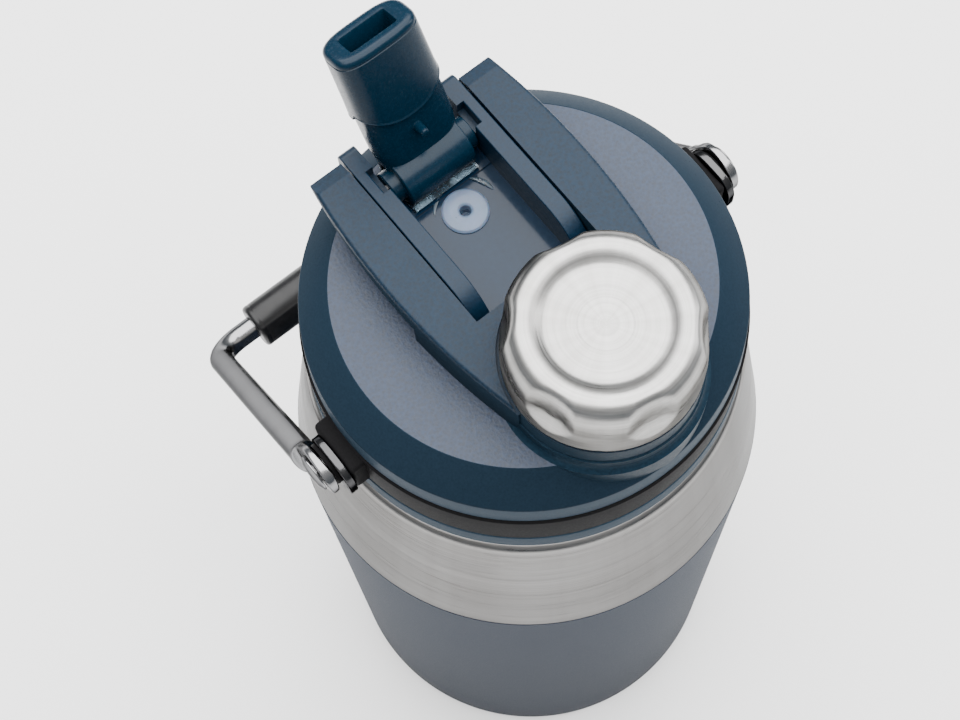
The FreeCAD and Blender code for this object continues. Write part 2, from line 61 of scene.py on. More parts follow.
JOINTS = {j["name"]: j for j in frame["joints"]}
BODY_R = high("outer_shell").x
NECK_TOP = high("outer_neck").z
SKIRT_LOW = low("lid_shell").z
DISC_Z = high("lid_shell").z
CHAMFER_HIGH = 7.6
RIM_Z = DISC_Z - CHAMFER_HIGH
RIM_R = 50.0
DISC_R = 42.8
SKIRT_R = 51.4
FOOT_IN = 54.0
PAINT_TOP = 170.0
SHOULDER_R = 52.3
SHOULDER_TOP = 218.0
NECK_R = 46.0
RING_LOW = low("carry_ring").z
RING_HIGH = high("carry_ring").z
HINGE = Vector(JOINTS["spout_flip"]["pos_m"]) / MM
PIVOT = Vector(JOINTS["bail_swing"]["pos_m"]) / MM
CAP_X = JOINTS["cap_turn"]["pos_m"][0] / MM
CAP_TOP = high("cap_shell").z
CAP_PHASE = math.radians(-12)
FLOOR_OVER_RIM = 8.8
FLOOR_Z = RIM_Z + FLOOR_OVER_RIM
BLOCK_TOP = high("spout_housing").z
VALVE_X = 20.0


# ---- mesh helpers: every outline is in millimetres ----
def mesh_object(name, verts, faces):
    mesh = bpy.data.meshes.new(name)
    mesh.from_pydata([Vector(v) * MM for v in verts], [], faces)
    mesh.update()
    obj = bpy.data.objects.new(name, mesh)
    bpy.context.scene.collection.objects.link(obj)
    return obj


def tidy_normals(obj, weld=0.00001):
    """Weld points closer than a hundredth of a millimetre and turn every face outwards."""
    bm = bmesh.new()
    bm.from_mesh(obj.data)
    bmesh.ops.remove_doubles(bm, verts=bm.verts, dist=weld)
    bmesh.ops.recalc_face_normals(bm, faces=bm.faces)
    bm.to_mesh(obj.data)
    bm.free()


def smooth(obj, angle=35):
    obj.data.shade_smooth()
    obj.data.set_sharp_from_angle(angle=math.radians(angle))
    return obj


def soften(points, arc_step=15):
    """Outline with rounded corners: a point is (x, y) or (x, y, radius). Closed."""
    out = []
    count = len(points)
    for i, point in enumerate(points):
        here = Vector(point[:2])
        radius = point[2] if len(point) > 2 else 0
        if radius == 0:
            out.append(tuple(here))
            continue
        back = Vector(points[i - 1][:2]) - here
        ahead = Vector(points[(i + 1) % count][:2]) - here
        turn = math.pi - back.angle(ahead)
        reach = radius * math.tan(turn / 2)
        reach = min(reach, back.length * 0.49, ahead.length * 0.49)
        radius = reach / math.tan(turn / 2)
        start = here + back.normalized() * reach
        end = here + ahead.normalized() * reach
        inwards = (back.normalized() + ahead.normalized()).normalized()
        centre = here + inwards * (radius / math.cos(turn / 2))
        steps = max(2, round(math.degrees(turn) / arc_step))
        a = math.atan2(start.y - centre.y, start.x - centre.x)
        b = math.atan2(end.y - centre.y, end.x - centre.x)
        sweep = (b - a + math.pi) % (2 * math.pi) - math.pi
        for k in range(steps + 1):
            t = a + sweep * k / steps
            out.append((centre.x + radius * math.cos(t), centre.y + radius * math.sin(t)))
    return out


def lathe(name, profile, steps=192, shape=None):
    """Closed (radius, z) outline turned about Z. shape(radius, z, angle) may give a point a new radius."""
    verts = []
    for k in range(steps):
        angle = 2 * math.pi * k / steps
        for r, z in profile:
            reach = shape(r, z, angle) if shape else r
            verts.append((reach * math.cos(angle), reach * math.sin(angle), z))
    n = len(profile)
    faces = []
    for k in range(steps):
        here, ahead = k * n, (k + 1) % steps * n
        for i in range(n):
            j = (i + 1) % n
            on_axis = profile[i][0] < 1e-6 and profile[j][0] < 1e-6
            if not on_axis:
                faces.append((here + i, here + j, ahead + j, ahead + i))
    obj = mesh_object(name, verts, faces)
    tidy_normals(obj)
    return obj


def loft(name, rings):
    """Skin over closed rings of equal length, closed at both ends."""
    n = len(rings[0])
    verts = [v for ring in rings for v in ring]
    faces = []
    for k in range(len(rings) - 1):
        for i in range(n):
            j = (i + 1) % n
            faces.append((k * n + i, k * n + j, (k + 1) * n + j, (k + 1) * n + i))
    last = (len(rings) - 1) * n
    faces.append(tuple(range(n)))
    faces.append(tuple(last + i for i in range(n)))
    obj = mesh_object(name, verts, faces)
    tidy_normals(obj)
    return obj


def prism(name, outline, z0, z1):
    return loft(name, [[(x, y, z) for x, y in outline] for z in (z0, z1)])


def box_solid(name, x0, x1, y0, y1, z0, z1):
    return prism(name, [(x0, y0), (x1, y0), (x1, y1), (x0, y1)], z0, z1)


def apply_modifier(obj, kind, **settings):
    """Add a modifier and keep what it makes of the mesh."""
    modifier = obj.modifiers.new(kind.lower(), kind)
    for key, value in settings.items():
        setattr(modifier, key, value)
    graph = bpy.context.evaluated_depsgraph_get()
    graph.update()
    mesh = bpy.data.meshes.new_from_object(obj.evaluated_get(graph))
    obj.modifiers.clear()
    obj.data = mesh
    return obj


def boolean(obj, other, operation="DIFFERENCE"):
    apply_modifier(obj, "BOOLEAN", object=other, operation=operation, solver="EXACT")
    bpy.data.objects.remove(other)
    return obj


def bevel(obj, width, segments=3, angle=30):
    return apply_modifier(obj, "BEVEL", width=width * MM, segments=segments, limit_method="ANGLE",
                          angle_limit=math.radians(angle), harden_normals=False, use_clamp_overlap=True)


def merge(obj, *others):
    """Gather several closed meshes into one object."""
    bm = bmesh.new()
    bm.from_mesh(obj.data)
    for other in others:
        bm.from_mesh(other.data)
        bpy.data.objects.remove(other)
    bm.to_mesh(obj.data)
    bm.free()
    return obj


def turned(obj, degrees, axis):
    """Right-handed turn of the mesh about an axis through the origin."""
    obj.data.transform(Matrix.Rotation(math.radians(degrees), 4, axis))
    return obj


def flipped(mesh):
    """Mirror image of a mesh across the plane y = 0."""
    mesh.transform(Matrix.Scale(-1, 4, Vector((0, 1, 0))))
    mesh.flip_normals()
    return mesh


def shift(obj, x, y, z):
    obj.data.transform(Matrix.Translation(Vector((x, y, z)) * MM))
    return obj


def mirror_copy(obj, name):
    twin = bpy.data.objects.new(name, flipped(obj.data.copy()))
    bpy.context.scene.collection.objects.link(twin)
    return twin


def coat(obj, *materials, choose=None):
    """Give the mesh its materials; choose(middle of a face) says which one the face gets."""
    obj.data.materials.clear()
    for material in materials:
        obj.data.materials.append(material)
    for face in obj.data.polygons:
        face.material_index = choose(face.center / MM) if choose else 0


def place(obj, body, slot, material, *nodes, angle=35):
    """Finish a piece: shading, material, the body it rides on and the CAD nodes it stands for."""
    smooth(obj, angle)
    if material:
        coat(obj, material)
    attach(obj, body)
    if nodes:
        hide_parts(*nodes)
    return obj


# ---- materials ----
class Graph:
    """A Principled material and short calls that add nodes to it. place is the object's own, in metres."""

    def __init__(self, name, **inputs):
        self.material = bpy.data.materials.new(name)
        self.material.use_nodes = True
        self.tree = self.material.node_tree
        self.shader = self.tree.nodes["Principled BSDF"]
        self.place = self.add("ShaderNodeTexCoord").outputs["Object"]
        for key, value in inputs.items():
            self.shader.inputs[key.replace("_", " ")].default_value = value

    def add(self, kind, links=None, values=None, **settings):
        node = self.tree.nodes.new(kind)
        for key, value in settings.items():
            setattr(node, key, value)
        for key, value in (values or {}).items():
            node.inputs[key].default_value = value
        for key, source in (links or {}).items():
            self.tree.links.new(source, node.inputs[key])
        return node

    def scaled(self, x, y, z):
        return self.add("ShaderNodeVectorMath", {0: self.place}, {1: (x, y, z)},
                        operation="MULTIPLY").outputs[0]

    def math(self, operation, a, b):
        node = self.add("ShaderNodeMath", operation=operation)
        for index, value in enumerate((a, b)):
            if isinstance(value, (int, float)):
                node.inputs[index].default_value = value
            else:
                self.tree.links.new(value, node.inputs[index])
        return node.outputs[0]

    def noise(self, vector, scale, detail=3.0, rough=0.5):
        return self.add("ShaderNodeTexNoise", {"Vector": vector},
                        {"Scale": scale, "Detail": detail, "Roughness": rough}).outputs["Fac"]

    def height(self):
        return self.add("ShaderNodeSeparateXYZ", {0: self.place}).outputs["Z"]

    def radius(self):
        flat = self.scaled(1, 1, 0)
        return self.add("ShaderNodeVectorMath", {0: flat}, operation="LENGTH").outputs["Value"]

    def spread(self, value, low_in, high_in, low_out, high_out):
        return self.add("ShaderNodeMapRange", {"Value": value}, {
            "From Min": low_in, "From Max": high_in, "To Min": low_out, "To Max": high_out}).outputs[0]

    def colours(self, value, *stops):
        ramp = self.add("ShaderNodeValToRGB", {"Fac": value})
        elements = ramp.color_ramp.elements
        while len(elements) < len(stops):
            elements.new(0.5)
        for element, (position, colour) in zip(elements, stops):
            element.position = position
            element.color = (*colour, 1)
        return ramp.outputs["Color"]

    def mix(self, factor, a, b, blend="MIX"):
        node = self.add("ShaderNodeMix", data_type="RGBA", blend_type=blend)
        for socket, value in ((node.inputs[0], factor), (node.inputs[6], a), (node.inputs[7], b)):
            if isinstance(value, (int, float)):
                socket.default_value = value
            elif isinstance(value, tuple):
                socket.default_value = (*value, 1)
            else:
                self.tree.links.new(value, socket)
        return node.outputs[2]

    def bump(self, height, distance):
        return self.add("ShaderNodeBump", {"Height": height},
                        {"Distance": distance * MM, "Strength": 1.0}).outputs[0]

    def to(self, **sources):
        for key, source in sources.items():
            self.tree.links.new(source, self.shader.inputs[key.replace("_", " ")])
        return self.material


def shade(colour, factor):
    return tuple(c * factor for c in colour)


def brushed_steel(name, colour, rough, rings=1700.0, bump=0.004, anisotropic=0.65, edge=0.05):
    """Steel with fine lines round the object's own Z axis, and slow stains and smears with painted
    reflection bands across them.
    """
    g = Graph(name, Metallic=1.0, Anisotropic=anisotropic, Specular_Tint=(edge, edge, edge, 1))
    r = g.math("MULTIPLY", g.radius(), rings)
    z = g.math("MULTIPLY", g.height(), rings)
    wander = g.noise(g.place, 18.0, 2.0)
    drift = g.math("MULTIPLY", wander, 6.0)
    line_place = g.add("ShaderNodeCombineXYZ", {0: r, 1: z, 2: drift}).outputs[0]
    fine = g.noise(line_place, 1.0, 4.0, 0.65)
    broad = g.noise(line_place, 0.2, 3.0, 0.6)
    patches = g.noise(g.scaled(1, 1, 2.2), 26.0, 4.0, 0.55)
    # Painted reflection: bands in sectors round the Z axis stand in for the bright and dark streaks the
    # steel reflects; mixed with the stain patches they darken the colour.
    around = g.add("ShaderNodeVectorMath", {0: g.scaled(1, 1, 0)}, operation="NORMALIZE").outputs[0]
    reflection_bands = g.noise(around, 3.2, 4.0, 0.6)
    lines = g.math("ADD", g.math("MULTIPLY", fine, 0.6), g.math("MULTIPLY", broad, 0.4))
    base = g.colours(lines, (0.34, shade(colour, 0.74)), (0.50, colour), (0.66, shade(colour, 1.24)))
    stain_and_reflection = g.colours(g.math("ADD", g.math("MULTIPLY", patches, 0.4), g.math("MULTIPLY", reflection_bands, 0.6)),
                      (0.38, (0.80, 0.79, 0.78)), (0.62, (1.0, 1.0, 1.0)))
    tint = g.mix(1.0, base, stain_and_reflection, "MULTIPLY")
    roughness = g.math("ADD", g.spread(lines, 0.35, 0.65, rough - 0.08, rough + 0.10),
                       g.spread(patches, 0.3, 0.7, -0.03, 0.04))
    tangent = g.add("ShaderNodeTangent", direction_type="RADIAL", axis="Z").outputs[0]
    return g.to(Base_Color=tint, Roughness=roughness, Normal=g.bump(lines, bump), Tangent=tangent)


def polished_steel(name, colour, dents, size):
    """Polished wire and plate: mirror-like with faint draw marks and fingerprints."""
    g = Graph(name, Metallic=1.0, Specular_Tint=(0.2, 0.2, 0.2, 1))
    marks = g.noise(g.scaled(1, 0.15, 1), 900.0, 3.0)
    smear = g.noise(g.place, size, 3.0, 0.6)
    base = g.colours(smear, (0.3, shade(colour, 0.88)), (0.7, colour))
    roughness = g.math("ADD", g.spread(smear, 0.3, 0.75, 0.10, 0.26), g.spread(marks, 0.3, 0.7, 0, 0.05))
    height = g.math("ADD", smear, g.math("MULTIPLY", marks, 0.06))
    return g.to(Base_Color=base, Roughness=roughness, Normal=g.bump(height, dents))


def powder_coat(name, colour):
    """Satin powder coat: orange-peel waves under a very fine grain, and painted shade that darkens it
    towards the floor.
    """
    g = Graph(name, Specular_IOR_Level=0.018)
    grain = g.noise(g.place, 3200.0, 2.0, 0.7)
    peel = g.noise(g.place, 700.0, 2.0)
    drift = g.noise(g.place, 14.0, 2.0)
    speck = g.colours(grain, (0.32, shade(colour, 0.84)), (0.68, shade(colour, 1.16)))
    base = g.mix(g.spread(drift, 0.3, 0.7, 0.0, 0.10), speck, shade(colour, 1.2))
    # Painted shade: the colour is mixed towards a much darker copy of itself low down, as if the coat lay
    # in shade near the floor.
    base = g.mix(g.spread(g.height(), 0.0, 0.17, 0.5, 0.0), base, shade(colour, 0.3))
    height = g.math("ADD", g.math("MULTIPLY", grain, 0.5), g.math("MULTIPLY", peel, 0.7))
    return g.to(Base_Color=base, Roughness=g.spread(grain, 0.3, 0.7, 0.42, 0.56),
                Normal=g.bump(height, 0.02))


def moulded(name, colour, rough, grain_size, depth, mottling, gloss):
    """Injection-moulded plastic: a fine spark-eroded grain of some depth (mm), slight mottling and flow."""
    g = Graph(name, Specular_IOR_Level=gloss)
    cells = g.add("ShaderNodeTexVoronoi", {"Vector": g.place}, {"Scale": grain_size}).outputs["Distance"]
    grain = g.noise(g.place, grain_size * 0.9, 2.0, 0.7)
    flow = g.noise(g.place, 22.0, 3.0, 0.55)
    mottle = g.math("ADD", g.math("MULTIPLY", grain, 0.7), g.math("MULTIPLY", cells, 0.3))
    base = g.colours(mottle, (0.25, shade(colour, 1 - mottling)), (0.65, shade(colour, 1 + mottling)))
    base = g.mix(g.spread(flow, 0.35, 0.7, 0.0, 0.12), base, shade(colour, 1.25))
    roughness = g.math("ADD", g.spread(grain, 0.3, 0.7, rough - 0.05, rough + 0.05),
                       g.spread(flow, 0.3, 0.7, -0.02, 0.03))
    return g.to(Base_Color=base, Roughness=roughness, Normal=g.bump(mottle, depth))


def silicone(name, colour, clear, rough):
    """Translucent silicone, from milky to nearly clear."""
    g = Graph(name, Transmission_Weight=clear, IOR=1.41,
              Subsurface_Weight=0.3 * (1 - clear), Subsurface_Scale=0.002)
    cloud = g.noise(g.place, 260.0, 3.0)
    base = g.colours(cloud, (0.3, shade(colour, 0.85)), (0.7, shade(colour, 1.1)))
    fine = g.noise(g.place, 1800.0, 2.0)
    return g.to(Base_Color=base, Roughness=g.spread(cloud, 0.3, 0.7, rough - 0.06, rough + 0.12),
                Normal=g.bump(fine, 0.012))


STEEL_BODY = brushed_steel("steel_body_brushed", (0.27, 0.265, 0.26), 0.32, edge=0.42)
STEEL_CAP = brushed_steel("steel_cap_spun", (0.45, 0.445, 0.435), 0.34, bump=0.010, anisotropic=0.5)
STEEL_LINER = brushed_steel("steel_liner", (0.45, 0.45, 0.44), 0.38, rings=900.0)
STEEL_BRIGHT = polished_steel("steel_polished", (0.27, 0.27, 0.275), dents=0.03, size=70.0)
STEEL_HAMMERED = polished_steel("steel_hammered", (0.07, 0.07, 0.072), dents=0.12, size=420.0)
COAT = powder_coat("powder_coat_slate", (0.026, 0.034, 0.051))
# Moulded finishes: name, colour, roughness, grain size, grain depth, mottling and gloss.
LID_TOP = moulded("lid_spark_texture", (0.009, 0.018, 0.038), 0.50, 1250.0, 0.10, 0.45, 0.43)
LID_CHAMFER = moulded("lid_chamfer_satin", (0.0088, 0.0175, 0.028), 0.32, 1800.0, 0.006, 0.12, 0.012)
LID_SKIRT = moulded("lid_skirt_satin", (0.024, 0.040, 0.058), 0.5, 2400.0, 0.012, 0.15, 0.03)
BLOCK_PLASTIC = moulded("block_spark_texture", (0.0015, 0.0095, 0.021), 0.44, 1300.0, 0.08, 0.40, 0.20)
BLOCK_WALL = moulded("block_wall_satin", (0.007, 0.018, 0.030), 0.44, 1300.0, 0.03, 0.25, 0.03)
RAIL_PLASTIC = moulded("rail_satin", (0.002, 0.011, 0.024), 0.36, 1500.0, 0.035, 0.25, 0.21)
FLOOR_PLASTIC = moulded("channel_floor_gloss", (0.002, 0.011, 0.026), 0.13, 800.0, 0.003, 0.10, 0.25)
SPOUT_PLASTIC = moulded("spout_gloss", (0.0010, 0.011, 0.023), 0.25, 1100.0, 0.008, 0.12, 0.18)
CORE_PLASTIC = moulded("core_smooth", (0.012, 0.024, 0.036), 0.34, 1500.0, 0.006, 0.06, 0.4)
BLACK_PLASTIC = moulded("ring_black", (0.008, 0.0078, 0.0083), 0.5, 2200.0, 0.012, 0.15, 0.012)
GRIP_RUBBER = moulded("grip_rubber", (0.006, 0.006, 0.0065), 0.34, 300.0, 0.010, 0.10, 0.3)
FOAM = moulded("foam_cells", (0.75, 0.74, 0.68), 0.85, 900.0, 0.06, 0.15, 0.3)
GETTER = moulded("getter_sintered", (0.10, 0.10, 0.105), 0.6, 1600.0, 0.03, 0.2, 0.3)
CLEAR = silicone("silicone_clear", (0.22, 0.32, 0.40), 0.90, 0.22)
SILICONE = silicone("silicone_milky", (0.125, 0.17, 0.255), 0.25, 0.3)
STRAW = silicone("straw_frosted", (0.75, 0.78, 0.80), 0.4, 0.35)


# ---- bottle ----
COAT_THICK = 0.12
WALL_THICK = 0.8


def body_profile(inset):
    """Outline of the drawn wall from the foot's inner edge to the top of the neck, set in all along."""
    wall = BODY_R - inset
    top = SHOULDER_TOP - inset
    neck = NECK_R - inset
    return soften([(FOOT_IN, inset), (wall, inset, 3.5), (wall, PAINT_TOP, 5),
                   (SHOULDER_R - inset, top, 2.6), (neck, top), (neck, NECK_TOP - 0.8)], 8)


def steel_body():
    """The drawn steel wall, which starts under the coat."""
    outside = body_profile(COAT_THICK)
    inside = body_profile(WALL_THICK)
    return lathe("steel_body", outside + inside[::-1], 256)


def coat_layer():
    """The powder coat, a thin skin from under the foot up to where the cone starts."""
    edge = PAINT_TOP - 0.6
    inner = BODY_R - 0.14
    rows = [(BODY_R, z) for z in (20, 60, 110, 150)]
    outside = soften([(FOOT_IN, 0.0), (BODY_R, 0.0, 3.5), *rows,
                      (BODY_R, edge - 0.06), (BODY_R - 0.06, edge), (BODY_R - 0.13, edge)], 8)
    inside = soften([(FOOT_IN, 0.10), (inner, 0.10, 3.4), (inner, edge - 0.01)], 8)
    return lathe("powder_coat", outside + inside[::-1], 256)


# ---- lid ----
GROOVE_R = 48.6
SKIRT_IN = 47.65
WINDOW_END_X = 39.8
WINDOW_HALF = 16.2
POUR_BORE_R = 16.8


def lid_shell():
    """Disc, chamfer, groove for the ring and skirt, opened under the channel and round the pour neck."""
    groove_top = RING_HIGH + 0.35
    groove_low = RING_LOW - 0.35
    under = DISC_Z - 2.0
    profile = soften([
        (0, under), (0, DISC_Z), (DISC_R, DISC_Z, 0.35), (RIM_R + 0.1, RIM_Z, 0.9),
        (RIM_R + 0.45, groove_top, 0.35), (GROOVE_R, groove_top), (GROOVE_R, groove_low),
        (SKIRT_R - 0.25, groove_low, 0.3), (SKIRT_R, SKIRT_LOW, 0.6), (SKIRT_IN, SKIRT_LOW, 0.4),
        (SKIRT_IN, RIM_Z + 0.5), (DISC_R - 0.7, under)])
    shell = lathe("lid_shell_moulded", profile, 288)
    cut_low, cut_top = DISC_Z - 3, DISC_Z + 1
    boolean(shell, box_solid("window", low("spout_cradle").x - 0.1, WINDOW_END_X, -WINDOW_HALF, WINDOW_HALF,
                             cut_low, cut_top))
    bore = lathe("bore", [(0, cut_low), (POUR_BORE_R, cut_low), (POUR_BORE_R, cut_top), (0, cut_top)], 96)
    return boolean(shell, shift(bore, CAP_X, 0, 0))


def carry_ring():
    """Flat band with a square boss on each side for the bail's rivets."""
    inner, outer = 48.95, 51.0
    profile = soften([(inner, RING_LOW), (outer, RING_LOW, 0.4),
                      (outer, RING_HIGH, 0.4), (inner, RING_HIGH)])
    ring = lathe("carry_ring_moulded", profile, 256)
    for mirrored in (False, True):
        boss = box_solid("boss", -7.2, 7.2, 49.5, 54.2, RING_LOW + 0.02, RING_HIGH - 0.02)
        bevel(boss, 1.1, 4)
        if mirrored:
            flipped(boss.data)
        merge(ring, boss)
    return ring


# ---- pour cap ----
# The cap's outline as (radius, height over the ridge), from the middle of the dish to the lower edge.
CAP_DISH = [(0, -2.05), (4, -2.05), (8, -2.05), (11.2, -2.02), (12.5, -1.82), (13.6, -1.28)]
CAP_RIDGE = [(14.7, -0.58), (15.7, -0.13), (16.6, 0), (17.6, -0.12), (18.6, -0.6), (19.6, -1.5),
             (20.4, -2.7)]
CAP_SIDE = [(21.0, -4.2), (21.35, -6.0), (21.5, -8.2), (21.58, -10.5), (21.6, -13.0), (21.6, -16.0),
            (21.6, -18.6), (21.45, -19.2), (21.1, -19.55), (20.75, -19.6)]
HOLLOW_R = 7.5
HOLLOW_OUT = 26.9
HOLLOW_DROP = 8.3


def smooth_max(a, b, k):
    """The larger of two values, with a soft change over k between them."""
    h = max(0.0, min(1.0, 0.5 + 0.5 * (a - b) / k))
    return a * h + b * (1 - h) + k * h * (1 - h)


def through(points, steps=5):
    """Smooth line through the points."""
    def between(p, q, r, w, t):
        return 0.5 * (2 * q + (r - p) * t + (2 * p - 5 * q + 4 * r - w) * t * t
                      + (3 * q - p - 3 * r + w) * t ** 3)

    ends = [points[0]] + points + [points[-1]]
    line = []
    for four in zip(ends, ends[1:], ends[2:], ends[3:]):
        for k in range(steps):
            line.append(tuple(between(*numbers, k / steps) for numbers in zip(*four)))
    return line + [points[-1]]


def pour_cap():
    """Pressed steel skin with six soft finger hollows, a rolled ridge and a dished top."""
    outline = through(CAP_DISH + CAP_RIDGE + CAP_SIDE)
    outside = [(max(0.0, r), CAP_TOP + z) for r, z in outline]
    under = CAP_TOP - 4.5
    inside = [(outline[-1][0], under), (0, under)]
    ridge = 16.5
    shallower, softness = 0.7, 3.6

    def hollow(r, z, angle):
        """Six upright round-ended fingers press into the cap's side, and its points yield to them."""
        if r <= ridge:
            return r
        off = (angle - CAP_PHASE + math.pi / 6) % (math.pi / 3) - math.pi / 6
        drop = max(0.0, CAP_TOP - HOLLOW_DROP - z)
        inside_cut = HOLLOW_R ** 2 - drop ** 2 - (HOLLOW_OUT * math.sin(off)) ** 2
        wall = HOLLOW_OUT * math.cos(off) - math.sqrt(max(0.0, inside_cut))
        return r - smooth_max(r - wall - shallower, 0.0, softness)

    cap = lathe("pour_cap_spun", outside + inside, 360, hollow)
    cap.location = (CAP_X * MM, 0, 0)
    return cap


# ---- bail ----
ARM = 102.3
ROD = 3.2
BEND_Y = 55.4
EYE_Y = 58.5
EYE_R = 6.5
EYE_THIN = 1.1
KINK_X = 10.2
BEND_LONG = 8.0
GRIP_BELOW_PIVOT = 66.9
REST_DROP = math.degrees(math.acos(GRIP_BELOW_PIVOT / ARM))


def to_rest(obj):
    """From a bail laid along +X at the pivot to how it hangs."""
    turned(obj, REST_DROP, "Y")
    return shift(obj, 0, 0, PIVOT.z)


def squared(c, s, power):
    """A point of the unit circle, moved onto a rounded square when the power is over 2."""
    return math.copysign(abs(c) ** (2 / power), c), math.copysign(abs(s) ** (2 / power), s)


def wire_ring(centre, forward, thin=ROD, wide=ROD, power=2, count=40):
    """Cross-section of the wire at a point of its middle line."""
    side = Vector((-forward.y, forward.x, 0))
    points = []
    for i in range(count):
        a = 2 * math.pi * i / count
        u, v = squared(math.cos(a), math.sin(a), power)
        points.append(centre + side * (u * thin) + Vector((0, 0, 1)) * (v * wide))
    return points


def middle_of(ring):
    return sum(ring, Vector()) / len(ring)


def bail_rod():
    """Half of the wire from its eye to the middle of the grip, then its mirror image."""
    stations = []
    for k in range(13):
        along = -EYE_R * math.cos(math.pi * k / 24)
        half_chord = math.sqrt(max(0.0, EYE_R ** 2 - along ** 2))
        stations.append((along, EYE_THIN, max(0.25, half_chord)))
    stations += [(2.5, 1.1, 5.95), (4.5, 1.1, 5.3), (6.2, 1.12, 4.8), (7.4, 1.2, 4.5), (8.2, 1.4, 4.35),
                 (8.8, 1.8, 4.2), (9.3, 2.4, 4.0), (9.8, 2.9, 3.8), (10.4, 3.2, 3.55), (11.2, 3.3, 3.35),
                 (12.4, 3.25, 3.22), (14.0, 3.2, 3.2)]
    ahead, across = Vector((1, 0, 0)), Vector((0, -1, 0))
    kink = Vector((KINK_X, EYE_Y, 0))
    direction = Vector((ARM - KINK_X, BEND_Y - EYE_Y, 0)).normalized()
    rings = []
    for along, thin, wide in stations:
        rounding = max(0.0, min(1.0, (along - 7.0) / 4.0))
        centre = Vector((along, EYE_Y, 0)) if along < KINK_X else kink + direction * (along - KINK_X)
        forward = ahead if along < 9 else direction
        rings.append(wire_ring(centre, forward, thin, wide, 5.0 - 3.0 * rounding))
    corner = Vector((ARM, BEND_Y, 0))
    before = corner - direction * BEND_LONG
    after = corner + across * BEND_LONG
    for part in (0.25, 0.5, 0.75):
        rings.append(wire_ring(middle_of(rings[-1]).lerp(before, part), direction))
    turn = direction.angle(across)
    radius = BEND_LONG / math.tan(turn / 2)
    centre = before + Vector((direction.y, -direction.x, 0)) * radius
    for k in range(17):
        turned_by = Matrix.Rotation(-turn * k / 16, 3, "Z")
        rings.append(wire_ring(centre + turned_by @ (before - centre), turned_by @ direction))
    for k in range(1, 7):
        rings.append(wire_ring(after.lerp(Vector((ARM, 0, 0)), k / 6), across))
    other = [[Vector((p.x, -p.y, p.z)) for p in ring] for ring in rings[-2::-1]]
    rod = loft("bail_wire", rings + other)
    drill = lathe("drill", [(0, -70), (2.6, -70), (2.6, 70), (0, 70)], 48)
    return to_rest(boolean(rod, turned(drill, 90, "X")))


def bail_grip():
    """Black grip: a bar with a fuller underside, a rolled rim at each end and a seam along it."""
    half = high("bail_grip").y
    grip_r, lobe_r, lobe_below = 6.0, 4.3, 2.6
    count = 96

    def section(y, extra):
        """Ring of the grip at y; extra makes it fuller or thinner all round."""
        points = []
        for i in range(count):
            a = 2 * math.pi * i / count
            c, s = math.cos(a), math.sin(a)
            lobe = -lobe_below * s + math.sqrt(lobe_r ** 2 - (lobe_below * c) ** 2)
            off_seam = abs(math.sin(a * 0.5 + math.pi / 4)) - 0.7071
            seam = 0.16 * math.exp(-(off_seam / 0.02) ** 2) if extra > -0.5 else 0
            r = smooth_max(grip_r, lobe, 0.9) + extra + seam
            points.append((ARM + c * r, y, s * r))
        return points

    steps = [(half, -2.2), (half, -0.9), (half - 0.12, -0.5), (half - 0.4, -0.2), (half - 0.8, -0.03),
             (half - 1.2, 0.03), (half - 1.7, 0.03), (half - 1.9, -0.06), (half - 2.1, -0.06),
             (half - 2.3, 0.0), (half * 0.85, 0.0), (half * 0.5, -0.03), (half * 0.25, -0.06), (0, -0.07)]
    steps += [(-y, extra) for y, extra in steps[-2::-1]]
    return to_rest(loft("bail_grip_moulded", [section(y, extra) for y, extra in steps]))


def rivet():
    """Low hammered dome outside the eye, with the shank behind it."""
    face = high("pivot_rivet_left").y
    base = EYE_Y + 1.4
    inner = 49.2
    profile = soften([(0, inner), (2.5, inner), (2.5, base), (4.6, base, 0.15), (4.55, base + 0.45, 0.3),
                      (3.0, face - 0.25, 2), (1.2, face, 1.5), (0, face)], 10)

    def hammer(r, y, angle):
        on_dome = y > base + 0.3 and r > 0.3
        return r + (0.09 * math.sin(3 * angle + 1.2) * math.sin(r * 1.3) if on_dome else 0)

    dome = lathe("rivet_left", profile, 64, hammer)
    return shift(turned(dome, -90, "X"), 0, 0, PIVOT.z)


def lug_plate():
    """Steel plate with round corners on the ring's boss, drilled for the rivet."""
    a, b = low("lug_plate_left"), high("lug_plate_left")
    outline = soften([(a.x, a.z, 6), (b.x, a.z, 6), (b.x, b.z, 6), (a.x, b.z, 6)], 6)
    plate = loft("lug_left", [[(x, y, z) for x, z in outline] for y in (a.y, b.y)])
    bevel(plate, 0.4, 3, 40)
    drill = lathe("drill", [(0, 40), (2.52, 40), (2.52, 70), (0, 70)], 48)
    return boolean(plate, shift(turned(drill, -90, "X"), 0, 0, PIVOT.z))


# ---- flip spout ----
LEAN = 23.6
FRONT = 3.8
BACK = 8.1
SPOUT_LONG = 37.8
STEP_UP = 17.0


def racetrack(height, half_width, front, back, power=3.4):
    """Ring round the mouthpiece; height(x, y) gives the height of each of its points."""
    middle = (back - front) / 2
    thick = (back + front) / 2
    count = 120
    ring = []
    for i in range(count):
        t = 2 * math.pi * (i + 0.5) / count
        u, v = squared(math.cos(t), math.sin(t), power)
        x, y = middle + u * thick, v * half_width
        ring.append((x, y, height(x, y)))
    return ring


def flat(height):
    return lambda x, y: height


def arched(offset):
    """The step between the recessed neck and the mouthpiece rises towards both sides."""
    return lambda x, y: STEP_UP + offset + 4.2 * (y / 10.4) ** 2 * (1 if x < 2 else 0.6)


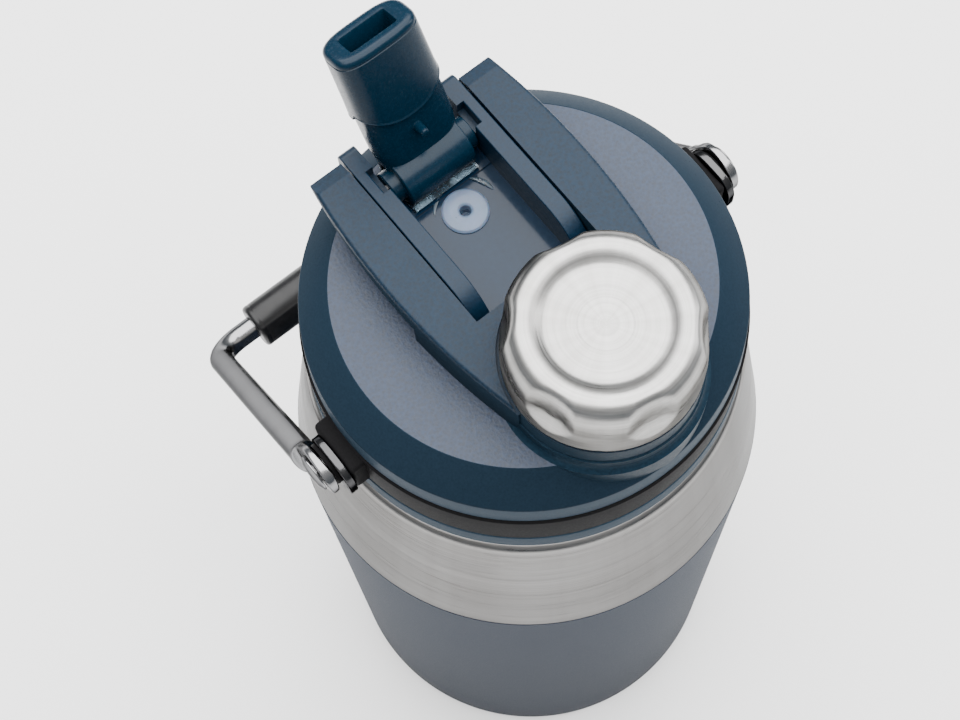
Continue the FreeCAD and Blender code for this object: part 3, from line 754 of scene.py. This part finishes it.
def spout():
    """Mouthpiece with a rimmed tip and slot, recessed neck, hinge barrel, trunnions and peg."""
    top = SPOUT_LONG
    root_half = 10.65
    middle = (BACK - FRONT) / 2
    rings = []
    for height, half_width, inset in (
            (2.6, 8.4, 1.6), (3.2, 8.9, 1.0), (5.4, 9.6, 0.75), (9.0, 9.95, 0.7), (14.0, 9.97, 0.68)):
        rings.append(racetrack(flat(height), half_width, FRONT - inset, BACK - inset))
    for offset, inset in ((-0.3, 0.68), (-0.02, 0.64), (0.0, 0.1), (0.06, -0.06), (0.2, -0.06),
                          (0.34, 0.02), (0.9, 0.0)):
        rings.append(racetrack(arched(offset), root_half - inset, FRONT - inset, BACK - inset))
    for height, inset in ((24, 0.0), (30, 0.0), (top - 2.6, 0.0), (top - 2.2, 0.0), (top - 2.05, 0.14),
                          (top - 1.85, 0.14), (top - 1.7, 0.0), (top - 1.2, 0.02), (top - 0.7, 0.18),
                          (top - 0.3, 0.5), (top - 0.08, 0.95), (top, 1.5)):
        half_width = root_half - 0.5 * (height - 17.5) / 20.3  # half a millimetre less at the tip
        rings.append(racetrack(flat(height), half_width - inset, FRONT - inset, BACK - inset))
    for drop, half_x, half_y, power in (
            (0.02, 3.6, 6.5, 9), (0.1, 3.0, 5.98, 14), (0.35, 2.82, 5.82, 16), (5, 2.8, 5.8, 16),
            (24, 2.6, 5.6, 16)):
        rings.append(racetrack(flat(top - drop), half_y, half_x - middle, half_x + middle, power))
    body = loft("spout_moulded", rings)
    rolls = (("barrel", 6.3, 8.7, 0.35), ("trunnions", 4.0, 11.2, 0.3), ("heel", 7.3, 8.7, 0.5))
    for name, radius, half, edge in rolls:
        outline = soften([(0, -half), (radius, -half, edge), (radius, half, edge), (0, half)])
        roll = turned(lathe(name, outline, 96), 90, "X")
        if name == "heel":
            boolean(roll, box_solid("keep", 0, 20, -20, 20, 0, 12), "INTERSECT")
        merge(body, roll)
    peg_outline = [(0, 2.6), (1.5, 2.6), (1.1, 3.4, 0.3), (0.95, 6.0, 0.3), (0.8, 6.6, 0.6), (0, 6.68)]
    peg = turned(lathe("peg", soften(peg_outline, 12), 32), -90, "Y")
    merge(body, shift(peg, 0, 0, HINGE.x - VALVE_X))
    return shift(turned(body, LEAN, "Y"), HINGE.x, 0, HINGE.z)


# ---- silicone in the channel ----
def vent_button():
    """Domed button with a dimple round the socket for the spout's peg."""
    z = FLOOR_Z
    outline = soften([
        (0, z - 4), (2.2, z - 4, 0.2), (2.2, z + 0.02), (5.35, z + 0.02), (5.4, z + 0.3, 0.15),
        (4.9, z + 0.72, 0.4), (3.4, z + 0.9, 1.0), (1.8, z + 0.8, 0.4), (1.3, z + 0.45, 0.3),
        (1.25, z - 3.2, 0.3), (0, z - 3.2)], 10)
    return shift(lathe("vent_button", outline, 96), VALVE_X, 0, 0)


def seal_tail():
    """Thin lips of the seal that lie on the channel floor round the button."""
    def lip(start, end, near, far, height):
        """Curved strand from one angle to another, thin at both ends."""
        rings = []
        for k in range(33):
            t = k / 32
            a = math.radians(start + (end - start) * t)
            fat = math.sin(math.pi * t) ** 0.6 * 0.9 + 0.1
            middle = (near + far) / 2
            half = (far - near) / 2 * fat
            ring = []
            for i in range(12):
                b = 2 * math.pi * i / 12
                r = middle + half * math.cos(b)
                z = FLOOR_Z + 0.03 + height * fat * (1 + math.sin(b)) / 2
                ring.append((VALVE_X + r * math.cos(a), r * math.sin(a), z))
            rings.append(ring)
        return loft("lip", rings)

    tail = lip(-32, 62, 6.3, 7.3, 0.5)
    tail.name = "seal_tail"
    return merge(tail, lip(-88, -42, 7.4, 8.6, 0.6))


# ---- pieces carried over from the frame get a finish and smooth shading ----
CARRIED = (
    (STEEL_LINER, ("inner_flask", "inner_neck", "inner_floor", "vacuum_plug")),
    (COAT, ("base_plate",)),
    (GETTER, ("getter_capsule",)),
    (CORE_PLASTIC, ("lid_skirt", "lid_lip", "lid_plate", "pour_neck", "straw_port", "cap_liner")),
    (CLEAR, ("lid_gasket", "spout_seal", "cap_gasket")),
    (FOAM, ("lid_insulation",)),
    (BLOCK_PLASTIC, ("spout_housing",)),
    (RAIL_PLASTIC, ("spout_cradle",)),
    (STRAW, ("straw",)),
    (STEEL_HAMMERED, ("spout_pins",)),
    (BLACK_PLASTIC, ("pivot_washer_left", "pivot_washer_right")))
for finish, node_names in CARRIED:
    for node_name in node_names:
        coat(NODES[node_name], finish)
        smooth(NODES[node_name], 30)


def block_face(middle):
    """Which finish a face of the block has: 0 on its top, 1 on the walls."""
    return int(middle.z < BLOCK_TOP - 1.4)


def cradle_face(middle):
    """0 on the rails, 1 on the channel's floor between them."""
    return int(middle.z < FLOOR_Z + 0.6 and abs(middle.y) < 11.5)


def lid_face(middle):
    """0 on the disc, 1 on the chamfer, 2 on the skirt and in the groove."""
    if middle.z < RIM_Z - 0.85:
        return 2
    return int(middle.xy.length > DISC_R - 0.25)


coat(NODES["spout_housing"], BLOCK_PLASTIC, BLOCK_WALL, choose=block_face)
coat(NODES["spout_cradle"], RAIL_PLASTIC, FLOOR_PLASTIC, choose=cradle_face)

place(steel_body(), "bottle", "liner_steel", STEEL_BODY, "outer_shell", "outer_neck")
place(vent_button(), "lid", "silicone", SILICONE, "vent_valve")
place(seal_tail(), "lid", "silicone", CLEAR)
place(coat_layer(), "bottle", "powder_coat", COAT)
shell = lid_shell()
coat(shell, LID_TOP, LID_CHAMFER, LID_SKIRT, choose=lid_face)
place(shell, "lid", "lid_blue", None, "lid_shell")
place(carry_ring(), "carrier", "black_plastic", BLACK_PLASTIC, "carry_ring")
place(pour_cap(), "pour_cap", "spun_steel", STEEL_CAP, "cap_shell", angle=50)
place(bail_rod(), "bail", "polished_steel", STEEL_BRIGHT, "bail_rod", angle=50)
place(bail_grip(), "bail", "grip_black", GRIP_RUBBER, "bail_grip", angle=50)
left_rivet = place(rivet(), "carrier", "polished_steel", STEEL_BRIGHT, "pivot_rivet_left")
right_rivet = mirror_copy(left_rivet, "rivet_right")
place(right_rivet, "carrier", "polished_steel", STEEL_BRIGHT, "pivot_rivet_right")
left_plate = place(lug_plate(), "carrier", "polished_steel", STEEL_HAMMERED, "lug_plate_left")
right_plate = mirror_copy(left_plate, "lug_right")
place(right_plate, "carrier", "polished_steel", STEEL_HAMMERED, "lug_plate_right")
place(spout(), "spout", "spout_blue", SPOUT_PLASTIC, "spout", angle=40)


# ---- floor, light and camera ----
def studio():
    """White floor and a world that is brighter overhead than at the horizon."""
    size = 3000
    floor = mesh_object("floor", [(-size, -size, 0), (size, -size, 0), (size, size, 0), (-size, size, 0)],
                        [(0, 1, 2, 3)])
    g = Graph("floor_white", Specular_IOR_Level=0.35)
    speck = g.noise(g.place, 6.0, 2.0)
    base = g.colours(speck, (0.3, (0.95, 0.95, 0.95)), (0.7, (0.97, 0.97, 0.97)))
    floor.data.materials.append(g.to(Base_Color=base, Roughness=g.spread(speck, 0.3, 0.7, 0.18, 0.24)))
    world = bpy.data.worlds.new("studio")
    world.use_nodes = True
    tree = world.node_tree
    direction = tree.nodes.new("ShaderNodeTexCoord")
    split = tree.nodes.new("ShaderNodeSeparateXYZ")
    ramp = tree.nodes.new("ShaderNodeValToRGB")
    background = tree.nodes["Background"]
    tree.links.new(direction.outputs["Generated"], split.inputs[0])
    tree.links.new(split.outputs["Z"], ramp.inputs[0])
    tree.links.new(ramp.outputs[0], background.inputs[0])
    horizon, overhead = ramp.color_ramp.elements
    horizon.color = (0.30, 0.34, 0.38, 1)
    overhead.color = (1, 1, 1, 1)
    overhead.position = 0.8
    background.inputs[1].default_value = 0.8
    bpy.context.scene.world = world


def area_light(name, watts, size, position, aim):
    light = bpy.data.lights.new(name, "AREA")
    light.energy = watts
    light.shape = "RECTANGLE"
    light.size, light.size_y = size
    obj = bpy.data.objects.new(name, light)
    obj.location = position
    obj.rotation_mode = "QUATERNION"
    obj.rotation_quaternion = (Vector(aim) - Vector(position)).to_track_quat("-Z", "Y")
    bpy.context.scene.collection.objects.link(obj)


def photo_camera():
    """Camera high over the cap side, looking steeply down, rolled a little."""
    aim = Vector((-5.2, 16.5, RIM_Z - 4.6)) * MM
    distance = 0.39915
    azimuth, elevation, roll = (math.radians(v) for v in (147.0, 70.93, -5.747))
    back = Vector((math.cos(azimuth) * math.cos(elevation), math.sin(azimuth) * math.cos(elevation),
                   math.sin(elevation)))
    level = Vector((0, 0, 1)).cross(back).normalized()
    upright = back.cross(level)
    right = level * math.cos(roll) + upright * math.sin(roll)
    up = upright * math.cos(roll) - level * math.sin(roll)
    data = bpy.data.cameras.new("camera")
    data.lens = 67.52
    data.sensor_width = 36.0
    camera = bpy.data.objects.new("camera", data)
    camera.rotation_mode = "QUATERNION"
    camera.rotation_quaternion = Matrix((right, up, back)).transposed().to_quaternion()
    camera.location = aim + back * distance
    bpy.context.scene.collection.objects.link(camera)
    bpy.context.scene.camera = camera


studio()
area_light("overhead", 135, (2.6, 2.6), (0.35, -0.22, 1.6), (0, 0, 0.2))
area_light("side_right", 8, (0.4, 0.8), (-0.5, -1.2, 0.9), (0, 0, 0.2))
photo_camera()
